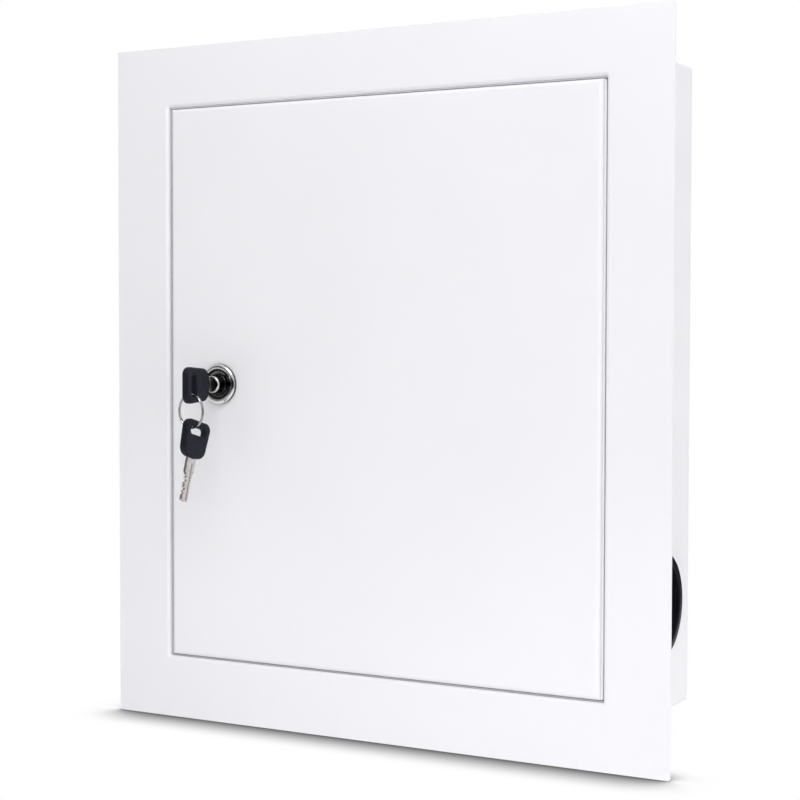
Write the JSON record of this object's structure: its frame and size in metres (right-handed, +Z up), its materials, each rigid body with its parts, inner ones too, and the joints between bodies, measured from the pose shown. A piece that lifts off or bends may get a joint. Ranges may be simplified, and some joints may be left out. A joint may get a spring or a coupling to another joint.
{
  "type": "recessed steel wall enclosure",
  "caption": "Recessed white steel wall enclosure: folded back box, wide front frame, inset hinged door, cam lock with key, spare key on a ring and cable grommets.",
  "frame": {"origin": "centre of the back wall's outer face, which is the centre of the four wall fixing holes", "axes": "+X right as seen from the room, +Y into the wall, +Z up; the door faces -Y"},
  "size_m": [0.4, 0.1427, 0.45],
  "materials": {
    "powder_coat": "white semi-gloss powder coat with a fine orange peel",
    "galvanised": "bright galvanised sheet",
    "zinc": "zinc-plated steel",
    "chrome": "polished chrome plate",
    "brass": "plain turned brass",
    "nickel": "nickel-plated brass, milled",
    "black_rubber": "smooth semi-gloss black rubber",
    "nylon": "natural nylon",
    "key_plastic": "moulded black plastic with a satin skin"
  },
  "bodies": {
    "cabinet": {"back_box": "powder_coat", "front_frame": "powder_coat", "frame_studs": "zinc", "frame_nuts": "zinc", "door_buffers": "black_rubber", "hinge_pin_upper": "zinc", "hinge_pin_lower": "zinc", "cable_grommet_right": "black_rubber", "cable_grommet_left": "black_rubber", "mounting_plate": "galvanised", "plate_studs": "zinc", "plate_washers": "zinc", "plate_nuts": "zinc", "box_earth_stud": "brass", "box_earth_washer": "brass", "box_earth_nut": "brass"},
    "door": {"door_panel": "powder_coat", "hinge_bush_upper": "nylon", "hinge_bush_lower": "nylon", "door_earth_stud": "brass", "door_earth_washer": "brass", "door_earth_nut": "brass", "lock_housing": "chrome", "lock_washer": "zinc", "lock_nut": "zinc"},
    "lock_plug_body": {"lock_plug": "chrome", "lock_cam": "zinc", "cam_washer": "zinc", "cam_screw": "zinc"},
    "key": {"key_head": "key_plastic", "key_blade": "nickel"},
    "ring": {"key_ring": "chrome"},
    "spare_key": {"spare_key_head": "key_plastic", "spare_key_blade": "nickel"}
  },
  "joints": [
    {"name": "door_hinge", "type": "hinge", "parent": "cabinet", "child": "door", "pos_m": [0.1493, -0.0935, 0], "axis": [0, 0, 1], "range_deg": [0, 105]},
    {"name": "lock_turn", "type": "hinge", "parent": "door", "child": "lock_plug_body", "pos_m": [-0.1165, -0.1, -0.00125], "axis": [0, 1, 0], "range_deg": [0, 90]},
    {"name": "key_slide", "type": "slide", "parent": "lock_plug_body", "child": "key", "axis": [0, -1, 0], "range_m": [0, 0.03]},
    {"name": "ring_swing", "type": "hinge", "parent": "key", "child": "ring", "pos_m": [-0.1165, -0.1321, -0.01315], "axis": [0.1874, 0.9823, 0], "range_deg": [-90, 90]},
    {"name": "spare_swing", "type": "hinge", "parent": "ring", "child": "spare_key", "pos_m": [-0.1165, -0.1321, -0.02898], "axis": [0.9823, -0.1874, 0], "range_deg": [-75, 25]}
  ]
}
